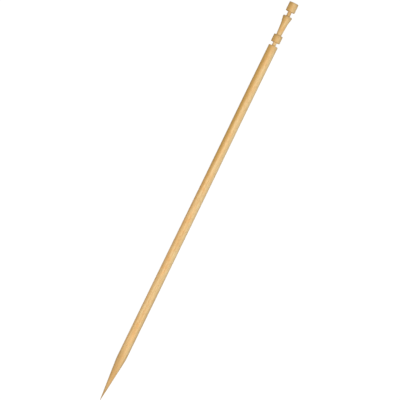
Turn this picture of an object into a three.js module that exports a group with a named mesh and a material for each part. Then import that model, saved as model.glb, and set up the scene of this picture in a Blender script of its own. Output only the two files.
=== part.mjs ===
// A turned wooden skewer for finger food: one stick of pale hardwood, sharpened at one end and turned at the
// other into a small ornamental head. A forming knife plunges into the spinning dowel and cuts away two necks
// and the hollow flank of the bell. What it leaves standing keeps the dowel's own surface, so the cap, the
// bell's rim, the collar and the shaft all share one diameter. The wood is never cut through: each stretch of
// the stick is a solid of its own here, and meets the next face to face across the grain.
// The skewer lies on its side along X, with its head at +X and its tip at -X, and the table is at z = 0.
import * as THREE from "three";

// Driving dimensions, in millimetres.
const LENGTH = 120; // over all, from the tip to the end of the cap
const DOWEL_D = 2.65; // the dowel that the skewer is turned from
const CAP_LENGTH = 2.6;
const UPPER_NECK_LENGTH = 1.41;
const UPPER_NECK_D = 1.08;
const BELL_LENGTH = 5.7;
const BELL_RIM_LENGTH = 0.25; // the ring of the dowel's own surface that is left above the flare
const BELL_WAIST_D = 1.45; // where its stem stands on the collar
const BELL_THROAT_D = 1.92; // where the slim stem turns into the steeper flare
const BELL_FLARE_LENGTH = 2.05; // from the throat to the end of the bell
const THROAT_BLEND = 0.6; // how far the throat is softened, to either side
const COLLAR_LENGTH = 2.14;
const LOWER_NECK_LENGTH = 1.06;
const LOWER_NECK_D = 1.08;
const CONE_LENGTH = 12.6; // from the tip to where the cone would meet the dowel's surface in a sharp corner
const SHOULDER_BLEND = 1; // how far that corner is softened, to either side
const TIP_RADIUS = 0.07;
const EDGE_ROUND = 0.1; // worn edges of the shoulders
const ROOT_FILLET = 0.12; // what the knife's rounded nose leaves where a neck or the waist meets a shoulder

// How finely round surfaces and curved outlines are faceted.
const SIDES = 32;
const ARC_STEPS = 4;
const BLEND_STEPS = 8;

// The shaft takes up what the point and the head leave of the length.
const POINT_LENGTH = CONE_LENGTH + SHOULDER_BLEND;
const HEAD_LENGTH = LOWER_NECK_LENGTH + COLLAR_LENGTH + BELL_LENGTH + UPPER_NECK_LENGTH + CAP_LENGTH;
const SHAFT_LENGTH = LENGTH - POINT_LENGTH - HEAD_LENGTH;
const dowelR = DOWEL_D / 2;

// An outline is half of a lengthwise section: a list of points that give the radius and the way along the
// stretch. It starts on the axis at the stretch's point side and ends on the axis at its head side.
function at(radius, along) {
  return new THREE.Vector2(radius, along);
}

// A quarter circle or less, from one angle to another. Angle 0 points away from the axis, and 90 degrees
// points towards the head.
function arc(centre, radius, fromDegrees, toDegrees) {
  const from = THREE.MathUtils.degToRad(fromDegrees);
  const to = THREE.MathUtils.degToRad(toDegrees);
  return new THREE.EllipseCurve(centre.x, centre.y, radius, radius, from, to, from > to).getPoints(ARC_STEPS);
}

// A smooth bend from one point to another, which leaves the first and reaches the second along the straight
// lines to a corner.
function bend(from, corner, to, steps) {
  return new THREE.QuadraticBezierCurve(from, corner, to).getPoints(steps);
}

// The solid of revolution of an outline, with its axis along X and its point-side end at the origin. Each
// ring's flats, and not its corners, lie on the true circle, so the stick rests on a flat at z = 0.
function turned(outline) {
  const halfFacet = Math.PI / SIDES;
  const rings = outline.map(({ x, y }) => at(x / Math.cos(halfFacet), y));
  return new THREE.LatheGeometry(rings, SIDES, halfFacet).rotateZ(-Math.PI / 2);
}

// A stretch that keeps the dowel's own surface. Its edges are worn round where they stand free.
function dowelStretch(length, { pointSideFree = false, headSideFree = false }) {
  const edge = Math.min(EDGE_ROUND, length / 2, dowelR / 2);
  const pointSide = pointSideFree ? arc(at(dowelR - edge, edge), edge, -90, 0) : [at(dowelR, 0)];
  const headSide = headSideFree ? arc(at(dowelR - edge, length - edge), edge, 0, 90) : [at(dowelR, length)];
  return turned([at(0, 0), ...pointSide, ...headSide, at(0, length)]);
}

// The root fillet, or as much of it as a groove of this radius and length has room for.
function rootFillet(radius, length) {
  return Math.min(ROOT_FILLET, (dowelR - radius) / 2, length / 3);
}

// A neck widens into the shoulders at both of its ends.
function neck(diameter, length) {
  const radius = diameter / 2;
  const root = rootFillet(radius, length);
  return turned([
    at(0, 0),
    ...arc(at(radius + root, root), root, -90, -180),
    ...arc(at(radius + root, length - root), root, 180, 90),
    at(0, length),
  ]);
}

// The bell: a slim stem that widens a little from its waist on the collar, a soft throat, and a steeper
// flare up to a narrow rim.
function bell() {
  const waistR = BELL_WAIST_D / 2;
  const root = rootFillet(waistR, BELL_LENGTH);
  const edge = Math.min(EDGE_ROUND, BELL_RIM_LENGTH);
  const waist = at(waistR, root);
  const throat = at(BELL_THROAT_D / 2, BELL_LENGTH - BELL_FLARE_LENGTH);
  const rim = at(dowelR, BELL_LENGTH - BELL_RIM_LENGTH);
  const blend = Math.min(THROAT_BLEND, throat.distanceTo(waist) / 2, throat.distanceTo(rim) / 2);
  const stemEnd = throat.clone().add(waist.clone().sub(throat).setLength(blend));
  const flareStart = throat.clone().add(rim.clone().sub(throat).setLength(blend));
  return turned([
    at(0, 0),
    ...arc(at(waistR + root, root), root, -90, -180),
    ...bend(stemEnd, throat, flareStart, BLEND_STEPS),
    rim,
    ...arc(at(dowelR - edge, BELL_LENGTH - edge), edge, 0, 90),
    at(0, BELL_LENGTH),
  ]);
}

// The point: a rounded tip, a straight cone tangent to it, and a soft shoulder up to the dowel's surface.
function point() {
  const corner = at(dowelR, CONE_LENGTH);
  const tipCentre = at(0, TIP_RADIUS);
  const toCorner = corner.clone().sub(tipCentre);
  const halfAngle = Math.atan2(toCorner.x, toCorner.y) - Math.asin(TIP_RADIUS / toCorner.length());
  const downTheCone = at(-Math.sin(halfAngle), -Math.cos(halfAngle));
  const coneEnd = corner.clone().addScaledVector(downTheCone, SHOULDER_BLEND);
  return turned([
    ...arc(tipCentre, TIP_RADIUS, -90, -THREE.MathUtils.radToDeg(halfAngle)),
    ...bend(coneEnd, corner, at(dowelR, POINT_LENGTH), BLEND_STEPS),
    at(0, POINT_LENGTH),
  ]);
}

const sandedBirch = { color: "#e6c089", roughness: 0.62, metalness: 0 };
const knifeCutBirch = { color: "#d9ae78", roughness: 0.7, metalness: 0 };

// Named stretches, end to end along X from where the first one starts.
function strung(start, stretches) {
  const group = new THREE.Group();
  let reached = start;
  for (const [name, length, geometry, finish] of stretches) {
    const mesh = new THREE.Mesh(geometry, new THREE.MeshStandardMaterial(finish));
    mesh.name = name;
    mesh.position.x = reached;
    group.add(mesh);
    reached += length;
  }
  return group;
}

const shaft = dowelStretch(SHAFT_LENGTH, { headSideFree: true });
const collar = dowelStretch(COLLAR_LENGTH, { pointSideFree: true, headSideFree: true });
const cap = dowelStretch(CAP_LENGTH, { pointSideFree: true, headSideFree: true });

const shank = strung(-LENGTH / 2, [
  ["point", POINT_LENGTH, point(), sandedBirch],
  ["shaft", SHAFT_LENGTH, shaft, sandedBirch],
]);

const head = strung(LENGTH / 2 - HEAD_LENGTH, [
  ["lower_neck", LOWER_NECK_LENGTH, neck(LOWER_NECK_D, LOWER_NECK_LENGTH), knifeCutBirch],
  ["collar", COLLAR_LENGTH, collar, sandedBirch],
  ["bell", BELL_LENGTH, bell(), knifeCutBirch],
  ["upper_neck", UPPER_NECK_LENGTH, neck(UPPER_NECK_D, UPPER_NECK_LENGTH), knifeCutBirch],
  ["cap", CAP_LENGTH, cap, sandedBirch],
]);

const skewer = new THREE.Group();
skewer.position.z = dowelR;
skewer.add(shank, head);

export default skewer;
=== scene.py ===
"""Turns a birch skewer for finger food afresh, stretch by stretch, and sets it on a white stage.

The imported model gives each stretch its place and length. Here each one is spun again from its own
outline, finely enough to carry the marks that the work leaves: sanding, knife rings, lifted
fibres, worn and chipped edges. The wood is one solid pattern through all of them, so the grain
runs on from stretch to stretch. The skewer lies along X, with its head at +X and its tip at -X,
and +Y is the picture's left.
"""

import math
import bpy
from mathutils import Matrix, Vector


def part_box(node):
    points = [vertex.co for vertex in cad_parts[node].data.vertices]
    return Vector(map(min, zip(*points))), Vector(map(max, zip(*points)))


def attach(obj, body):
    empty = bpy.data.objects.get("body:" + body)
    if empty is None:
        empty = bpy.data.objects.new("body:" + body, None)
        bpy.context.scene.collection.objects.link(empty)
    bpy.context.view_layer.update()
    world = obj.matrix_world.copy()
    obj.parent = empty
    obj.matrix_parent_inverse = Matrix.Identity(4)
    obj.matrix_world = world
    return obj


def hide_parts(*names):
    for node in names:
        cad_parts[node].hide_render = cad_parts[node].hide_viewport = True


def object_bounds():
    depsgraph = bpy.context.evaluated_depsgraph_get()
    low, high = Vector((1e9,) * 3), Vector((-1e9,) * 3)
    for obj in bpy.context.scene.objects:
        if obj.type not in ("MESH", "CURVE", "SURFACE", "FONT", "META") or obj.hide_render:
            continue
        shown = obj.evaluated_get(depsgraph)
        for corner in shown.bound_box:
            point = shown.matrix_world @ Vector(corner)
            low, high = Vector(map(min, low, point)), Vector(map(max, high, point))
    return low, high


bl_info = {
    "name": "Turned Birch Skewer",
    "version": (1, 0, 0),
    "blender": (4, 5, 0),
    "location": "View3D > Sidebar > Skewer",
    "description": "Turns the stretches of a birch skewer and sets it on a white stage",
    "category": "Add Mesh",
}

import bmesh
import bpy
from bpy.props import FloatProperty, FloatVectorProperty, IntProperty, PointerProperty
from mathutils import Vector, noise

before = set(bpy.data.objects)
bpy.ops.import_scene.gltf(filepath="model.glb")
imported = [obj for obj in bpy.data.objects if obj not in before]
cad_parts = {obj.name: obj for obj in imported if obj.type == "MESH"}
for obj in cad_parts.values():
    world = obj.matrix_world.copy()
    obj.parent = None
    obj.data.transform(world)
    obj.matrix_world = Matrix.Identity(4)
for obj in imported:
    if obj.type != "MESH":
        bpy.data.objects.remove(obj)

MM = 0.001
CAD_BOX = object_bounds()
TIP_END, HEAD_END = CAD_BOX[0].x, CAD_BOX[1].x
AXIS_HEIGHT = (CAD_BOX[0].z + CAD_BOX[1].z) / 2
DOWEL_RADIUS = (CAD_BOX[1].z - CAD_BOX[0].z) / 2
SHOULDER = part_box("point")[1].x
HEAD_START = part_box("shaft")[1].x

# Where along the stick it is bowed, and where the sanding has thinned it.
BOWED = (HEAD_END * 0.12, HEAD_END * 0.92)
THINNED = (HEAD_END * -0.1, HEAD_END * 0.8)

# Two places nearer than this are the same.
TOUCHING = 0.001 * MM

# How closely an outline's points stand where it crosses an end face.
FACE_SPACING = 0.06 * MM

# Patches in the wood: their length along the grain and their width across it, in millimetres.
# Sway bends the growth rings and the heartwood's border. A single fibre of birch is 0.02 mm wide,
# which is too fine to show, so fibres are drawn coarser, as bundles.
PATCHES = {
    "sway": (24, 1.6),
    "warm": (1.7, 1.4),
    "pale": (5, 1.8),
    "mottle": (3.5, 0.9),
    "streak": (9, 0.36),
    "fibre": (4, 0.07),
    "fleck": (0.9, 0.3),
}

# The space that a pore has to itself, in millimetres, and where its wall starts and ends, as a
# share of that space. The pores come out 0.07 mm wide and almost a millimetre long, as birch's are.
PORE_SPACE = (1.6, 0.13)
PORE_WALL = (0.16, 0.28)

# Where a Mix node of colours keeps its colours and gives its result.
MIX_A, MIX_B, MIXED = 6, 7, 2


def linear(hex_colour):
    """The linear colour, with alpha, of an sRGB hex value."""
    channels = [int(hex_colour[i : i + 2], 16) / 255 for i in (1, 3, 5)]
    return [c / 12.92 if c <= 0.04045 else ((c + 0.055) / 1.055) ** 2.4 for c in channels] + [1.0]


def size(name, millimetres, description):
    """A length that the sidebar shows in the scene's own units."""
    return FloatProperty(
        name=name, description=description, default=millimetres * MM, unit="LENGTH", precision=5
    )


def colour(name, hex_colour, description):
    """A colour that the sidebar shows as a swatch."""
    return FloatVectorProperty(
        name=name,
        description=description,
        default=linear(hex_colour),
        size=4,
        subtype="COLOR",
        min=0.0,
        max=1.0,
    )


class SkewerOutline(bpy.types.PropertyGroup):
    """The turned outline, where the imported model's boxes don't give it."""

    sides: IntProperty(name="Sides", description="Faces round the stick", default=160, min=12)
    upper_neck: size("Upper Neck", 1.08, "Thickness of the neck between the bell and the cap")
    lower_neck: size("Lower Neck", 1.08, "Thickness of the neck between the shaft and the collar")
    waist: size("Waist", 1.45, "Thickness of the bell where it stands on the collar")
    throat: size("Throat", 1.92, "Thickness of the bell where its stem turns into the flare")
    flare: size("Flare", 2.05, "Length of the bell from its throat to its end")
    throat_blend: size("Throat's Softness", 0.6, "How far the bell's throat is softened")
    rim: size("Rim", 0.25, "Ring of the dowel's own surface that is left above the bell's flare")
    root: size("Root Fillet", 0.12, "What the knife's rounded nose leaves at a shoulder's foot")
    edge: size("Worn Edge", 0.1, "Rounding of the shoulders' edges")
    blend: size("Point's Shoulder", 1.0, "How far the corner between cone and dowel is softened")
    tip: size("Tip Radius", 0.07, "Rounding of the very tip")


class SkewerSurface(bpy.types.PropertyGroup):
    """How far the work and the wood leave the surface inside its true circle."""

    bow: size("Bow", 0.05, "How far the stick is bowed to the picture's left, above its middle")
    skew: size("Skew", 0.25, "How far the tip is sharpened off the axis, to the picture's left")
    slim: size("Slim", 0.03, "Radius that the dowel loses where it is thinnest")
    skim: size("Skim", 0.035, "Radius that the knife skims off the collar and the bell's rim")
    wander: size("Wander", 0.012, "Slow change of the sanded dowel's radius along its length")
    oval: size("Out of Round", 0.008, "How far the dowel is out of round")
    fibre: size("Fibre Relief", 0.008, "Height of the fine ridges that fibres leave when sanded")
    groove: size("Grooves", 0.03, "Depth of the odd longer groove along the grain")
    ring_pitch: size("Knife Ring Pitch", 0.16, "Spacing of the rings that the knife leaves")
    ring: size("Knife Rings", 0.006, "Height of the rings that the knife leaves")
    torn: size("Torn Grain", 0.025, "Depth of the patches where the knife lifts fibres out")
    chip: size("Chips", 0.09, "Depth of the chips in the shoulders' edges")
    end_grain: size("End Grain", 0.018, "Depth of the rough patches where the wood is cut across")


class SkewerWood(bpy.types.PropertyGroup):
    """The birch's colours, some of which also paint shade and light, and the width of its growth
    rings.
    """

    early: colour("Early Wood", "#f0c788", "Pale wood that the tree grows in spring")
    late: colour("Late Wood", "#d09f5c", "Darker wood that closes a growth ring")
    heart: colour("Heartwood", "#c4994a", "Brown wood from the middle of the tree")
    browned: colour("Browned", "#c19b60", "Wood that the belt and the knife have warmed")
    honey: colour("Honey Blotch", "#efb46c", "Warm blotches")
    # This colour also paints light on the -Y side, which faces the lamp, and the paler knife cuts.
    straw_and_side_light: colour("Straw and Side Light", "#edd49e", "Yellower blotches")
    pore: colour("Pore", "#b07d48", "Open vessels, which show as short dashes")
    end_tint: colour("End Grain Tint", "#b98c56", "Wood cut across, which soaks up more light")
    # Painted shade on the edges that face the head is drawn in this colour, and the tip is darkened
    # with it too.
    edge_shade_and_tip_brown: colour("Edge Shade and Tip Brown", "#7d6a48", "Wood that the tool has rubbed brown")
    ring_width: size("Ring Width", 1.25, "Spacing of the growth rings")


class SkewerStage(bpy.types.PropertyGroup):
    """Camera and light. The two places are in the 400 x 400 picture, from its top left corner."""

    lens: FloatProperty(
        name="Lens", description="Focal length, in millimetres", default=200.0, min=1.0
    )
    head_at: FloatVectorProperty(
        name="Head At", description="Where the head's end shows", size=2, default=(293.75, 2.8)
    )
    tip_at: FloatVectorProperty(
        name="Tip At", description="Where the tip shows", size=2, default=(100.4, 400.0)
    )
    key: FloatProperty(
        name="Key Lamp", description="1 renders a colour as it is written", default=0.58, min=0.0
    )
    sky: FloatProperty(
        name="Sky", description="Light from all round, on the same scale", default=0.52, min=0.0
    )


def arc(along, out, radius, start, end, steps=6):
    """Points on a round stretch of an outline.

    Angle 0 points away from the axis, and 90 degrees towards the head.
    """
    angles = [math.radians(start + (end - start) * i / steps) for i in range(steps + 1)]
    return [(along + radius * math.sin(a), out + radius * math.cos(a)) for a in angles]


def bend(start, corner, end, steps=24):
    """A smooth bend that leaves and reaches its ends along the straight lines to a corner."""
    points = []
    for i in range(steps + 1):
        t = i / steps
        weighed = zip(((1 - t) ** 2, 2 * t * (1 - t), t**2), (start, corner, end))
        points.append(tuple(map(sum, zip(*[(w * x, w * r) for w, (x, r) in weighed]))))
    return points


def filled(outline, spacing):
    """The same outline, with its long straight stretches divided into short ones."""
    points = [outline[0]]
    for (x0, r0), (x1, r1) in zip(outline, outline[1:]):
        count = max(1, math.ceil(math.hypot(x1 - x0, r1 - r0) / spacing))
        for i in range(1, count + 1):
            points.append((x0 + (x1 - x0) * i / count, r0 + (r1 - r0) * i / count))
    return points


def spun(outline, sides):
    """A closed solid of revolution about the stick's axis."""
    bm = bmesh.new()
    verts = [bm.verts.new((x, 0.0, AXIS_HEIGHT + r)) for x, r in outline]
    edges = [bm.edges.new(pair) for pair in zip(verts, verts[1:])]
    bmesh.ops.spin(
        bm,
        geom=verts + edges,
        cent=(0.0, 0.0, AXIS_HEIGHT),
        axis=(1.0, 0.0, 0.0),
        angle=math.tau,
        steps=sides,
        use_merge=True,
        use_duplicate=False,
    )
    bmesh.ops.remove_doubles(bm, verts=bm.verts[:], dist=TOUCHING / 10)
    bmesh.ops.recalc_face_normals(bm, faces=bm.faces[:])
    return bm


def placed(scene, name, bm):
    """An object of this shape, in the scene."""
    mesh = bpy.data.meshes.new(name)
    bm.to_mesh(mesh)
    bm.free()
    made = bpy.data.objects.new(name, mesh)
    scene.collection.objects.link(made)
    return made


def patch(place, along, across, salt):
    """Smooth noise, mostly from -0.6 to 0.6, in patches of this length and width.

    Its lattice is moved by the salt, and off the stick's middle, where it would show.
    """
    off_middle = 7.3
    cell = (place.x / along + salt, place.y / across + off_middle, place.z / across - salt)
    return noise.noise(Vector(cell))


def eased(value, start, end):
    """0 before the start, 1 after the end, and smooth between them."""
    t = max(0.0, min(1.0, (value - start) / (end - start)))
    return t * t * (3 - 2 * t)


def swell(x, start, end):
    """A smooth swelling that is 1 halfway from start to end, and 0 outside them."""
    risen = eased(x, start, end)
    return 4 * risen * (1 - risen)


def strayed(x, surface):
    """How far the stick's axis strays to +Y: a slight bow, and a point sharpened off centre."""
    down_the_point = max(0.0, (SHOULDER - x) / (SHOULDER - TIP_END))
    return surface.bow * swell(x, *BOWED) + surface.skew * down_the_point


def fibres(place, surface):
    """Fine ridges along the grain, as coarse as the drawn fibres, and the odd longer groove."""
    ridge = 0.5 + 0.5 * patch(place, along=6 * MM, across=0.12 * MM, salt=3.1)
    dip = patch(place, along=9 * MM, across=0.2 * MM, salt=11.7)
    return -surface.fibre * ridge - surface.groove * eased(dip, start=0.38, end=0.65)


def sanded(place, surface):
    """How far the drum-sanded dowel's surface is from its true circle."""
    slim = surface.slim * swell(place.x, *THINNED)
    slow = surface.wander * (0.5 + 0.5 * patch(place, along=17 * MM, across=30 * MM, salt=5.9))
    around = math.atan2(place.z - AXIS_HEIGHT, place.y)
    twist = place.x / (7 * MM)
    oval = surface.oval * (0.5 + 0.5 * math.cos(2 * around + twist))
    return fibres(place, surface) - slim - slow - oval


def skimmed(place, surface):
    """The dowel's surface where the forming knife has just touched it."""
    return sanded(place, surface) - surface.skim


def knife_cut(place, surface):
    """Rings of the forming knife, with torn patches where it lifts the fibres."""
    lifted = 1.5
    waver = 2.5 * patch(place, along=0.5 * MM, across=4 * MM, salt=1.3)
    phase = place.x / surface.ring_pitch * math.tau + waver
    rings = surface.ring * (0.5 + 0.5 * math.sin(phase))
    gap = patch(place, along=0.9 * MM, across=0.22 * MM, salt=21.4)
    return lifted * fibres(place, surface) - rings - surface.torn * eased(gap, start=0.18, end=0.6)


def belt_sanded(place, surface):
    """Faint scratches round the cone, where the skewer rolled across a sanding belt."""
    scratch = patch(place, along=0.11 * MM, across=2.5 * MM, salt=13.9)
    return fibres(place, surface) - surface.fibre * (0.5 + scratch)


def chipping(place, radius, corner, surface):
    """How deep the edge of a shoulder is worn and chipped at a place near it.

    Most of the edge stays whole, because only the highest noise makes a large chip.
    """
    reach, whole = 0.3 * MM, 0.12
    gap = math.hypot(place.x - corner, radius - DOWEL_RADIUS)
    if gap > reach:
        return 0.0
    around = Vector((corner / MM, place.y / radius, (place.z - AXIS_HEIGHT) / radius))

    def chips(to_a_radius, salt):
        cell = (around.x + salt, around.y * to_a_radius, around.z * to_a_radius)
        return noise.noise(Vector(cell))

    coarse = max(0.0, chips(to_a_radius=4.5, salt=0.0) - whole)
    fine = max(0.0, chips(to_a_radius=17, salt=5.1))
    return surface.chip * (coarse + 0.25 * fine) * (1 - gap / reach) ** 2


def crosscut(place, radius, foot, surface):
    """How deep the rough end grain is at a place.

    It is level where something stands on the face, out to the radius of its foot.
    """
    level = eased(radius, foot, foot + 0.15 * MM) if foot else 1.0
    coarse = abs(patch(place, along=5 * MM, across=0.16 * MM, salt=8.8))
    fine = abs(patch(place, along=5 * MM, across=0.07 * MM, salt=2.2))
    return surface.end_grain * level * (coarse + 0.6 * fine)


def reach_of(node):
    """Where a node starts and ends along the stick."""
    low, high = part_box(node)
    return low.x, high.x


def work(bm, surface, outline, skin, free_ends):
    """Moves each vertex to where the work leaves it, and notes its nearness to a head-facing edge.

    The skin's relief fades out from the rim of an end face to its middle. The note is for painted
    shade on the edges that face the head, except the shaft's, which turn away from the lamp.
    """
    shade_reach = 0.9 * MM
    head_edge_shade = bm.verts.layers.float.new("head_edge_shade")
    ends = (outline[0][0], outline[-1][0])
    face_radii = {x: max(r for along, r in outline if along == x) for x in ends}
    for vert in bm.verts:
        place = vert.co.copy()
        out = Vector((0.0, place.y, place.z - AXIS_HEIGHT))
        radius = out.length
        if radius < TOUCHING:
            vert.co.y += strayed(place.x, surface)
            continue
        out /= radius
        rim = next((r for x, r in face_radii.items() if abs(place.x - x) < TOUCHING), radius)
        vert.co += out * skin(place, surface) * (radius / rim) ** 3
        for end, inwards, foot in free_ends:
            depth = chipping(place, radius, end, surface)
            vert.co += (Vector((inwards, 0.0, 0.0)) - out) * depth
            if abs(place.x - end) < TOUCHING:
                vert.co.x += inwards * crosscut(place, radius, foot, surface)
            # Painted shade: a head-facing edge is noted, to be painted darker where it turns from
            # the lamp.
            if inwards < 0 and end > HEAD_START:
                gap = math.hypot(place.x - end, radius - DOWEL_RADIUS)
                vert[head_edge_shade] = max(vert[head_edge_shade], 1 - gap / shade_reach)
        vert.co.y += strayed(place.x, surface)


def turned(scene, name, outline, skin, free_ends, knife):
    """Spins a stretch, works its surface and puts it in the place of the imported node.

    skin says how far its side stands from the outline. free_ends gives each end face that shows:
    where it is, which way is into the wood, and the radius of what stands on it.
    """
    crease = math.radians(35)
    bm = spun(outline, scene.skewer_outline.sides)
    work(bm, scene.skewer_surface, outline, skin, free_ends)
    for edge in bm.edges:
        edge.smooth = edge.calc_face_angle(0.0) < crease
    for face in bm.faces:
        face.smooth = True
    piece = placed(scene, f"birch_{name}", bm)
    piece.data.materials.append(birch(scene, knife))
    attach(piece, "root")
    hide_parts(name)


def dowel_stretch(scene, name, free_ends, spacing, skin=sanded):
    """A stretch that keeps the dowel's own surface. It is worn round where its end faces show."""
    start, end = reach_of(name)
    edge = scene.skewer_outline.edge
    showing = [x for x, _, _ in free_ends]
    point_side = [(start, DOWEL_RADIUS)]
    if start in showing:
        point_side = arc(start + edge, DOWEL_RADIUS - edge, edge, -90, 0)
    head_side = [(end, DOWEL_RADIUS)]
    if end in showing:
        head_side = arc(end - edge, DOWEL_RADIUS - edge, edge, 0, 90)
    outline = filled([(start, 0.0), point_side[0]], FACE_SPACING)[:-1] + point_side
    outline += filled([point_side[-1], head_side[0]], spacing)[1:-1] + head_side
    outline += filled([head_side[-1], (end, 0.0)], FACE_SPACING)[1:]
    turned(scene, name, outline, skin, free_ends, knife=False)


def neck(scene, name, thickness):
    """A neck widens into the shoulders at both of its ends."""
    start, end = reach_of(name)
    root = scene.skewer_outline.root
    out = thickness / 2 + root
    point_side = arc(start + root, out, root, -90, -180)
    head_side = arc(end - root, out, root, 180, 90)
    outline = [(start, 0.0), *point_side]
    outline += filled([point_side[-1], head_side[0]], spacing=0.025 * MM)[1:-1]
    outline += [*head_side, (end, 0.0)]
    turned(scene, name, outline, knife_cut, [], knife=True)


def add(tree, kind, inputs, **settings):
    """Adds a node with its own settings. An input takes a value, or another node's output."""
    node = tree.nodes.new(kind)
    for name, value in settings.items():
        setattr(node, name, value)
    for name, value in inputs.items():
        if isinstance(value, bpy.types.NodeSocket):
            tree.links.new(value, node.inputs[name])
        else:
            node.inputs[name].default_value = value
    return node


def cleared(owner):
    """The node tree of a material or a world, emptied."""
    owner.use_nodes = True
    owner.node_tree.nodes.clear()
    return owner.node_tree


def growth_rings(tree, grain, sway, look):
    """How far into a growth ring a place is.

    It is 0 in early wood, and 1 where the late wood ends in a sharp line. The pith, the tree's own
    middle, is in millimetres from the stick's axis.
    """
    pith = (0.0, 16.0, -13.0)
    late_start, late_end = 0.3, 0.93
    flat = add(tree, "ShaderNodeVectorMath", {0: grain, 1: (0.0, 1.0, 1.0)}, operation="MULTIPLY")
    away = add(tree, "ShaderNodeVectorMath", {0: flat.outputs[0], 1: pith}, operation="DISTANCE")
    swayed = add(tree, "ShaderNodeMath", {0: away.outputs["Value"], 1: sway}, operation="ADD")
    inputs = {0: swayed.outputs[0], 1: MM / look.ring_width}
    ring = add(tree, "ShaderNodeMath", inputs, operation="MULTIPLY").outputs[0]
    into = add(tree, "ShaderNodeMath", {0: ring}, operation="FRACT").outputs[0]
    inputs = {"Value": into, "From Min": late_start, "From Max": late_end}
    late = add(tree, "ShaderNodeMapRange", inputs).outputs[0]
    inputs = {"Value": into, "From Min": late_end, "To Min": 1.0, "To Max": 0.0}
    ended = add(tree, "ShaderNodeMapRange", inputs).outputs[0]
    return add(tree, "ShaderNodeMath", {0: late, 1: ended}, operation="MULTIPLY").outputs[0]


def heartwood(tree, grain, sway):
    """How much of the brown heartwood a place has.

    It lies along the +Y side at the head, narrows to a crisp strip and leaves the stick sideways
    at its middle, because the grain runs out. All lengths here are in millimetres.
    """
    to_the_heart, waviness = (0.0, 0.95, 0.3), 0.6
    crisp_at, wide_at, crisp_border, wide_border, core = 10.0, 38.0, 0.95, 0.58, 1.42
    faint_at, full_at, faintest = -6.0, 20.0, 0.25
    inputs = {0: grain, 1: to_the_heart}
    side = add(tree, "ShaderNodeVectorMath", inputs, operation="DOT_PRODUCT").outputs["Value"]
    inputs = {0: sway, 1: waviness, 2: side}
    swayed = add(tree, "ShaderNodeMath", inputs, operation="MULTIPLY_ADD").outputs[0]
    along = add(tree, "ShaderNodeSeparateXYZ", {0: grain}).outputs["X"]
    inputs = {
        "Value": along,
        "From Min": crisp_at,
        "From Max": wide_at,
        "To Min": crisp_border,
        "To Max": wide_border,
    }
    border = add(tree, "ShaderNodeMapRange", inputs).outputs[0]
    inputs = {"Value": swayed, "From Min": border, "From Max": core}
    across = add(tree, "ShaderNodeMapRange", inputs).outputs[0]
    inputs = {"Value": along, "From Min": faint_at, "From Max": full_at, "To Min": faintest}
    upper = add(tree, "ShaderNodeMapRange", inputs, interpolation_type="SMOOTHSTEP").outputs[0]
    return add(tree, "ShaderNodeMath", {0: across, 1: upper}, operation="MULTIPLY").outputs[0]


def stained(tree, place, across, along, least):
    """How much of a stain a place has.

    It deepens from one Y to another, and along the stick from one X to another.
    """
    inputs = {"Value": place["Y"], "From Min": across[0], "From Max": across[1], "To Min": least}
    sideways = add(tree, "ShaderNodeMapRange", inputs, interpolation_type="SMOOTHSTEP")
    inputs = {"Value": place["X"], "From Min": along[0], "From Max": along[1]}
    lengthways = add(tree, "ShaderNodeMapRange", inputs, interpolation_type="SMOOTHSTEP")
    inputs = {0: sideways.outputs[0], 1: lengthways.outputs[0]}
    return add(tree, "ShaderNodeMath", inputs, operation="MULTIPLY").outputs[0]


def stains(tree, place):
    """What the sanding belt leaves on the point's half of the stick.

    It scorches the cone, most on its +Y side. Above the cone it browns the -Y edge, and gives the
    wood beside that edge a blush.
    """
    cone = (SHOULDER + 6 * MM, SHOULDER - 3 * MM)
    above = (SHOULDER * 0.42, SHOULDER * 0.66)
    beside = (SHOULDER * 0.52, SHOULDER * 0.78)
    scorch = stained(tree, place, across=(-0.6 * MM, 0.6 * MM), along=cone, least=0.4)
    brown = stained(tree, place, across=(-0.55 * MM, -1.2 * MM), along=above, least=0.0)
    blush = stained(tree, place, across=(0.8 * MM, -0.3 * MM), along=beside, least=0.0)
    return scorch, brown, blush


def patchwork(tree, grain):
    """One noise for each kind of patch in the wood, all of them slices of one 4D noise."""
    apart = 3.7
    noises = {}
    for number, (kind, (along, across)) in enumerate(PATCHES.items()):
        inputs = {0: grain, 1: (1 / along, 1 / across, 1 / across)}
        scaled = add(tree, "ShaderNodeVectorMath", inputs, operation="MULTIPLY").outputs[0]
        inputs = {"Vector": scaled, "W": apart * number, "Scale": 1.0}
        noises[kind] = add(tree, "ShaderNodeTexNoise", inputs, noise_dimensions="4D").outputs[0]
    return noises


def pores(tree, grain):
    """How far a place is from the middle of a pore, as a share of the space that a pore has."""
    length, width = PORE_SPACE
    inputs = {0: grain, 1: (1 / length, 1 / width, 1 / width)}
    scaled = add(tree, "ShaderNodeVectorMath", inputs, operation="MULTIPLY").outputs[0]
    inputs = {"Vector": scaled, "Scale": 1.0}
    return add(tree, "ShaderNodeTexVoronoi", inputs).outputs["Distance"]


def relief(tree, fibre, vessel):
    """The finest relief: pores are open, and ridges of fibre stand between them."""
    pore_depth, ridge_height = 0.6, 0.025 * MM
    inputs = {
        "Value": vessel,
        "From Min": PORE_WALL[0],
        "From Max": PORE_WALL[1],
        "To Min": -pore_depth,
        "To Max": 0.0,
    }
    sunk = add(tree, "ShaderNodeMapRange", inputs).outputs[0]
    height = add(tree, "ShaderNodeMath", {0: fibre, 1: sunk}, operation="ADD").outputs[0]
    inputs = {"Strength": 1.0, "Distance": ridge_height, "Height": height}
    return add(tree, "ShaderNodeBump", inputs).outputs[0]


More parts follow.
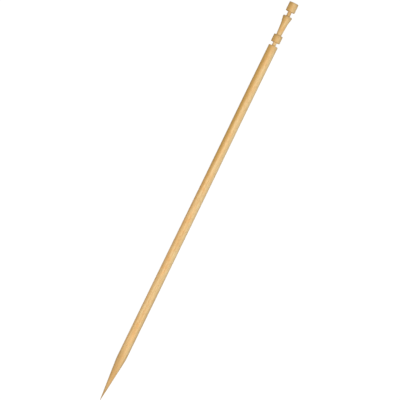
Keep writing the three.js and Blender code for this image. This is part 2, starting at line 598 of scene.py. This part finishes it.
def tinted(tree, base, layers):
    """Lays tints over the wood, one after the other.

    What a layer goes by, from one value to another, sets how much of its tint there is.
    """
    for tint, source, start, end, least, most in layers:
        inputs = {
            "Value": source,
            "From Min": start,
            "From Max": end,
            "To Min": least,
            "To Max": most,
        }
        amount = add(tree, "ShaderNodeMapRange", inputs, interpolation_type="SMOOTHSTEP")
        inputs = {0: amount.outputs[0], MIX_A: base, MIX_B: tint}
        base = add(tree, "ShaderNodeMix", inputs, data_type="RGBA").outputs[MIXED]
    return base


def birch(scene, knife):
    """Birch: a pale, close-grained hardwood with faint growth rings, fine fibres and small pores.

    Drum-sanded, it looks smooth and satin, and its pores show as short dashes. Where a forming
    knife cuts it, it is a little darker and duller, because the fibres are lifted, and across the
    grain it is darker still.
    """
    name = "Knife-cut birch" if knife else "Drum-sanded birch"
    material = bpy.data.materials.get(name)
    if material:
        return material
    look = scene.skewer_wood
    material = bpy.data.materials.new(name)
    tree = cleared(material)

    # The grain runs a little askew of the stick. Its coordinates are in millimetres.
    coordinates = add(tree, "ShaderNodeTexCoord", {}).outputs
    inputs = {
        "Vector": coordinates["Object"],
        "Location": (0.0, 0.0, -AXIS_HEIGHT / MM),
        "Rotation": (0.0, math.radians(0.4), math.radians(0.2)),
        "Scale": (1 / MM, 1 / MM, 1 / MM),
    }
    grain = add(tree, "ShaderNodeMapping", inputs).outputs[0]

    noises = patchwork(tree, grain)
    vessel = pores(tree, grain)
    rings = growth_rings(tree, grain, noises["sway"], look)
    heart = heartwood(tree, grain, noises["sway"])
    place = add(tree, "ShaderNodeSeparateXYZ", {0: coordinates["Object"]}).outputs
    facing = add(tree, "ShaderNodeSeparateXYZ", {0: coordinates["Normal"]}).outputs["X"]
    crossed = add(tree, "ShaderNodeMath", {0: facing}, operation="ABSOLUTE").outputs[0]
    head_edge_shade = add(tree, "ShaderNodeAttribute", {}, attribute_name="head_edge_shade").outputs["Fac"]

    scorch, brown, blush = stains(tree, place)

    # The shaft is browned just below the head, and the head more and more towards its end. The
    # knife's cuts are palest next to the shaft.
    toast = (HEAD_START - 3 * MM, HEAD_START, 0.0, 0.32)
    fresh = 0.0
    if knife:
        toast = (HEAD_START, HEAD_END, 0.0, 0.45)
        fresh = 0.7

    # Each layer's tint, what it goes by, from where to where, and how much of it there is at each.
    # The -Y side, which faces the lamp, is painted paler and yellower: painted light and sheen.
    layers = (
        (look.late, rings, 0.0, 1.0, 0.0, 0.35),
        (look.honey, noises["warm"], 0.44, 0.6, 0.0, 0.75),
        (look.straw_and_side_light, noises["pale"], 0.44, 0.6, 0.0, 0.6),
        (look.honey, blush, 0.0, 1.0, 0.0, 0.45),
        (look.late, noises["mottle"], 0.45, 0.75, 0.0, 0.2),
        (look.late, noises["streak"], 0.42, 0.62, 0.0, 0.42),
        # Painted light: the -Y side, towards the lamp, is painted paler and yellower.
        (look.straw_and_side_light, place["Y"], 0.0, -1.1 * MM, 0.0, 0.8),
        (look.straw_and_side_light, place["X"], HEAD_START, HEAD_START + 6 * MM, fresh, 0.0),
        (look.late, heart, 0.0, 0.45, 0.0, 0.5),
        (look.heart, heart, 0.22, 1.0, 0.0, 0.95),
        (look.browned, scorch, 0.0, 1.0, 0.0, 0.8),
        (look.browned, brown, 0.0, 1.0, 0.0, 0.45),
        (look.browned, place["X"], *toast),
        (look.late, noises["fibre"], 0.46, 0.6, 0.0, 0.38),
        (look.late, noises["fleck"], 0.5, 0.68, 0.0, 0.35),
        (look.pore, vessel, *PORE_WALL, 0.32, 0.0),
        (look.end_tint, crossed, 0.05, 0.4, 0.0, 0.1),
        (look.end_tint, crossed, 0.5, 0.95, 0.0, 0.25),
        # Painted shade: edges that face the head are darkened, as they turn away from the lamp.
        (look.edge_shade_and_tip_brown, head_edge_shade, 0.0, 1.0, 0.0, 0.28),
        # Darker and browner towards the tip.
        (look.edge_shade_and_tip_brown, place["X"], TIP_END, TIP_END + 6 * MM, 0.4, 0.0),
    )
    base = tinted(tree, look.early, layers)

    # A ridge of fibre is rubbed a little smoother than what is beside it.
    between, ridge = 0.3, 0.7
    dull, smooth = (0.78, 0.64) if knife else (0.7, 0.54)
    inputs = {
        "Value": noises["fibre"],
        "From Min": between,
        "From Max": ridge,
        "To Min": dull,
        "To Max": smooth,
    }
    roughness = add(tree, "ShaderNodeMapRange", inputs).outputs[0]
    bump = relief(tree, noises["fibre"], vessel)
    inputs = {"Base Color": base, "Roughness": roughness, "IOR": 1.5, "Normal": bump}
    shader = add(tree, "ShaderNodeBsdfPrincipled", inputs)
    add(tree, "ShaderNodeOutputMaterial", {"Surface": shader.outputs[0]})
    return material


class SKEWER_OT_point(bpy.types.Operator):
    """Sharpen the point: a rounded tip, a straight cone and a soft shoulder"""

    bl_idname = "skewer.point"
    bl_label = "Sharpen Point"

    def execute(self, context):
        outline = context.scene.skewer_outline
        start, end = reach_of("point")
        corner = (end - outline.blend, DOWEL_RADIUS)
        centre = start + outline.tip
        reach = math.hypot(corner[0] - centre, corner[1])
        slope = math.atan2(corner[1], corner[0] - centre) - math.asin(outline.tip / reach)
        back, down = outline.blend * math.cos(slope), outline.blend * math.sin(slope)
        cone_end = (corner[0] - back, corner[1] - down)
        tip = arc(centre, 0.0, outline.tip, -90, -math.degrees(slope))
        points = tip[:-1] + filled([tip[-1], cone_end], spacing=0.1 * MM)[:-1]
        points += bend(cone_end, corner, (end, DOWEL_RADIUS)) + [(end, 0.0)]

        def skin(place, surface):
            dowel = eased(place.x, corner[0] - 2 * MM, end)
            return dowel * sanded(place, surface) + (1 - dowel) * belt_sanded(place, surface)

        turned(context.scene, "point", points, skin, [], knife=False)
        return {"FINISHED"}


class SKEWER_OT_shaft(bpy.types.Operator):
    """Sand the shaft, square at its head end"""

    bl_idname = "skewer.shaft"
    bl_label = "Sand Shaft"

    def execute(self, context):
        outline = context.scene.skewer_outline
        end = reach_of("shaft")[1]
        free_ends = [(end, -1, outline.lower_neck / 2 + outline.root)]
        dowel_stretch(context.scene, "shaft", free_ends, spacing=0.35 * MM)
        return {"FINISHED"}


class SKEWER_OT_lands(bpy.types.Operator):
    """Leave the collar and the cap standing, two short stretches of the dowel's own surface"""

    bl_idname = "skewer.lands"
    bl_label = "Leave Collar and Cap"

    def execute(self, context):
        outline = context.scene.skewer_outline
        lower, waist, upper = (
            thickness / 2 + outline.root
            for thickness in (outline.lower_neck, outline.waist, outline.upper_neck)
        )
        start, end = reach_of("collar")
        free_ends = [(start, 1, lower), (end, -1, waist)]
        dowel_stretch(context.scene, "collar", free_ends, spacing=0.08 * MM, skin=skimmed)
        start, end = reach_of("cap")
        free_ends = [(start, 1, upper), (end, -1, 0.0)]
        dowel_stretch(context.scene, "cap", free_ends, spacing=0.08 * MM)
        return {"FINISHED"}


class SKEWER_OT_necks(bpy.types.Operator):
    """Cut the two necks"""

    bl_idname = "skewer.necks"
    bl_label = "Cut Necks"

    def execute(self, context):
        outline = context.scene.skewer_outline
        neck(context.scene, "lower_neck", outline.lower_neck)
        neck(context.scene, "upper_neck", outline.upper_neck)
        return {"FINISHED"}


class SKEWER_OT_bell(bpy.types.Operator):
    """Turn the bell: a slim stem, a soft throat, a flare and a narrow rim"""

    bl_idname = "skewer.bell"
    bl_label = "Turn Bell"

    def execute(self, context):
        outline = context.scene.skewer_outline
        start, end = reach_of("bell")
        root, edge = outline.root, outline.edge
        foot = arc(start + root, outline.waist / 2 + root, root, -90, -180)
        rim = Vector((end - outline.rim, DOWEL_RADIUS))
        throat = Vector((end - outline.flare, outline.throat / 2))
        stem_end = throat + (Vector(foot[-1]) - throat).normalized() * outline.throat_blend
        flare_start = throat + (rim - throat).normalized() * outline.throat_blend
        lip = arc(end - edge, DOWEL_RADIUS - edge, edge, 0, 90)
        soft = bend(tuple(stem_end), tuple(throat), tuple(flare_start))
        flank = filled([foot[-1], *soft, tuple(rim), lip[0]], spacing=0.05 * MM)
        points = [(start, 0.0), *foot[:-1], *flank, *lip[1:]]
        points += filled([lip[-1], (end, 0.0)], FACE_SPACING)[1:]

        def skin(place, surface):
            land = eased(place.x, rim.x - 0.1 * MM, rim.x)
            return land * skimmed(place, surface) + (1 - land) * knife_cut(place, surface)

        free_ends = [(end, -1, outline.upper_neck / 2 + root)]
        turned(context.scene, "bell", points, skin, free_ends, knife=True)
        return {"FINISHED"}


class SKEWER_OT_stage(bpy.types.Operator):
    """Lay the white floor, hang the lamp and aim the camera"""

    bl_idname = "skewer.stage"
    bl_label = "Set Stage"

    def execute(self, context):
        scene = context.scene
        lay_floor(scene)
        hang_lamp(scene)
        light_world(scene)
        aim_camera(scene)
        scene.view_settings.view_transform = "Standard"
        return {"FINISHED"}


def seen_directly(tree):
    """1 for what the camera sees, also in gloss and through glass, and 0 for light on things."""
    path = add(tree, "ShaderNodeLightPath", {}).outputs
    inputs = {0: path["Is Camera Ray"], 1: path["Is Glossy Ray"]}
    camera_or_gloss = add(tree, "ShaderNodeMath", inputs, operation="MAXIMUM").outputs[0]
    inputs = {0: camera_or_gloss, 1: path["Is Transmission Ray"]}
    return add(tree, "ShaderNodeMath", inputs, operation="MAXIMUM").outputs[0]


def lay_floor(scene):
    """A round floor, 6 m across, that shows white, keeps a faint shadow and gives little light."""
    floor_radius, whiteness, grey = 3.0, 0.86, linear("#7c7c7c")
    bm = bmesh.new()
    bmesh.ops.create_circle(bm, cap_ends=True, segments=96, radius=floor_radius)
    floor = placed(scene, "floor", bm)
    # Matt white board: an even white with no gloss, which glows so that its shadow stays faint.
    material = bpy.data.materials.new("Matt white board")
    tree = cleared(material)
    inputs = {"Color": linear("#ffffff"), "Strength": whiteness}
    glow = add(tree, "ShaderNodeEmission", inputs).outputs[0]
    board = add(tree, "ShaderNodeBsdfDiffuse", {"Color": grey}).outputs[0]
    white = add(tree, "ShaderNodeAddShader", {0: glow, 1: board}).outputs[0]
    dim = add(tree, "ShaderNodeBsdfDiffuse", {"Color": grey}).outputs[0]
    mixed = add(tree, "ShaderNodeMixShader", {0: seen_directly(tree), 1: dim, 2: white})
    add(tree, "ShaderNodeOutputMaterial", {"Surface": mixed.outputs[0]})
    floor.data.materials.append(material)


def hang_lamp(scene):
    """A broad, even lamp high on the tip's side and a little to the picture's right."""
    towards_tip, towards_right, softness = math.radians(14), math.radians(4), math.radians(30)
    clear_of_the_skewer = (-0.2, -0.05, 0.4)
    data = bpy.data.lights.new("key", "SUN")
    data.energy = math.pi * scene.skewer_stage.key
    data.angle = softness
    lamp = bpy.data.objects.new("key", data)
    lamp.location = clear_of_the_skewer
    lamp.rotation_euler = (towards_right, -towards_tip, 0.0)
    scene.collection.objects.link(lamp)


def light_world(scene):
    """White where the camera looks past the floor, and a dim even sky for light."""
    world = bpy.data.worlds.new("sky")
    scene.world = world
    tree = cleared(world)
    inputs = {"Color": linear("#ffffff"), "Strength": 1.0}
    white = add(tree, "ShaderNodeBackground", inputs).outputs[0]
    inputs = {"Color": linear("#ffffff"), "Strength": scene.skewer_stage.sky}
    dim = add(tree, "ShaderNodeBackground", inputs).outputs[0]
    mixed = add(tree, "ShaderNodeMixShader", {0: seen_directly(tree), 1: dim, 2: white})
    add(tree, "ShaderNodeOutputWorld", {"Surface": mixed.outputs[0]})


def aim_camera(scene):
    """Looks straight down, so that the skewer's ends show at their places in the picture."""
    stage = scene.skewer_stage
    picture, sensor = 400, 36.0
    head, tip = Vector(stage.head_at), Vector(stage.tip_at)
    lean = math.atan2(tip.y - head.y, head.x - tip.x)
    pixel = (HEAD_END - TIP_END) / (head - tip).length
    right = Vector((math.cos(lean), -math.sin(lean), 0.0))
    up = Vector((math.sin(lean), math.cos(lean), 0.0))
    off = Vector(((picture - 1) / 2,) * 2) - (head + tip) / 2
    data = bpy.data.cameras.new("camera")
    data.lens, data.sensor_width = stage.lens, sensor
    camera = bpy.data.objects.new("camera", data)
    camera.location = right * off.x * pixel - up * off.y * pixel
    camera.location.x += (HEAD_END + TIP_END) / 2
    camera.location.z = AXIS_HEIGHT + picture * pixel * stage.lens / sensor
    camera.rotation_euler = (0.0, 0.0, -lean)
    scene.collection.objects.link(camera)
    scene.camera = camera


class SKEWER_PT_sidebar(bpy.types.Panel):
    """Sizes, colours and steps of the skewer"""

    bl_idname = "SKEWER_PT_sidebar"
    bl_label = "Turned Birch Skewer"
    bl_space_type = "VIEW_3D"
    bl_region_type = "UI"
    bl_category = "Skewer"

    def draw(self, context):
        for key, group in GROUPS.items():
            box = self.layout.box()
            for name in group.__annotations__:
                box.prop(getattr(context.scene, key), name)
        for step in STEPS:
            self.layout.operator(step.bl_idname)


GROUPS = {
    "skewer_outline": SkewerOutline,
    "skewer_surface": SkewerSurface,
    "skewer_wood": SkewerWood,
    "skewer_stage": SkewerStage,
}
STEPS = (
    SKEWER_OT_point,
    SKEWER_OT_shaft,
    SKEWER_OT_lands,
    SKEWER_OT_necks,
    SKEWER_OT_bell,
    SKEWER_OT_stage,
)


def register():
    """Registers the groups, the steps and the sidebar, and gives every scene its groups."""
    for cls in (*GROUPS.values(), *STEPS, SKEWER_PT_sidebar):
        bpy.utils.register_class(cls)
    for key, group in GROUPS.items():
        setattr(bpy.types.Scene, key, PointerProperty(type=group))


def unregister():
    """Takes back what register gave, in the opposite order."""
    for key in GROUPS:
        delattr(bpy.types.Scene, key)
    for cls in reversed((*GROUPS.values(), *STEPS, SKEWER_PT_sidebar)):
        bpy.utils.unregister_class(cls)


def main():
    """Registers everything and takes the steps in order."""
    register()
    bpy.ops.skewer.point()
    bpy.ops.skewer.shaft()
    bpy.ops.skewer.lands()
    bpy.ops.skewer.necks()
    bpy.ops.skewer.bell()
    bpy.ops.skewer.stage()


if __name__ == "__main__":
    main()
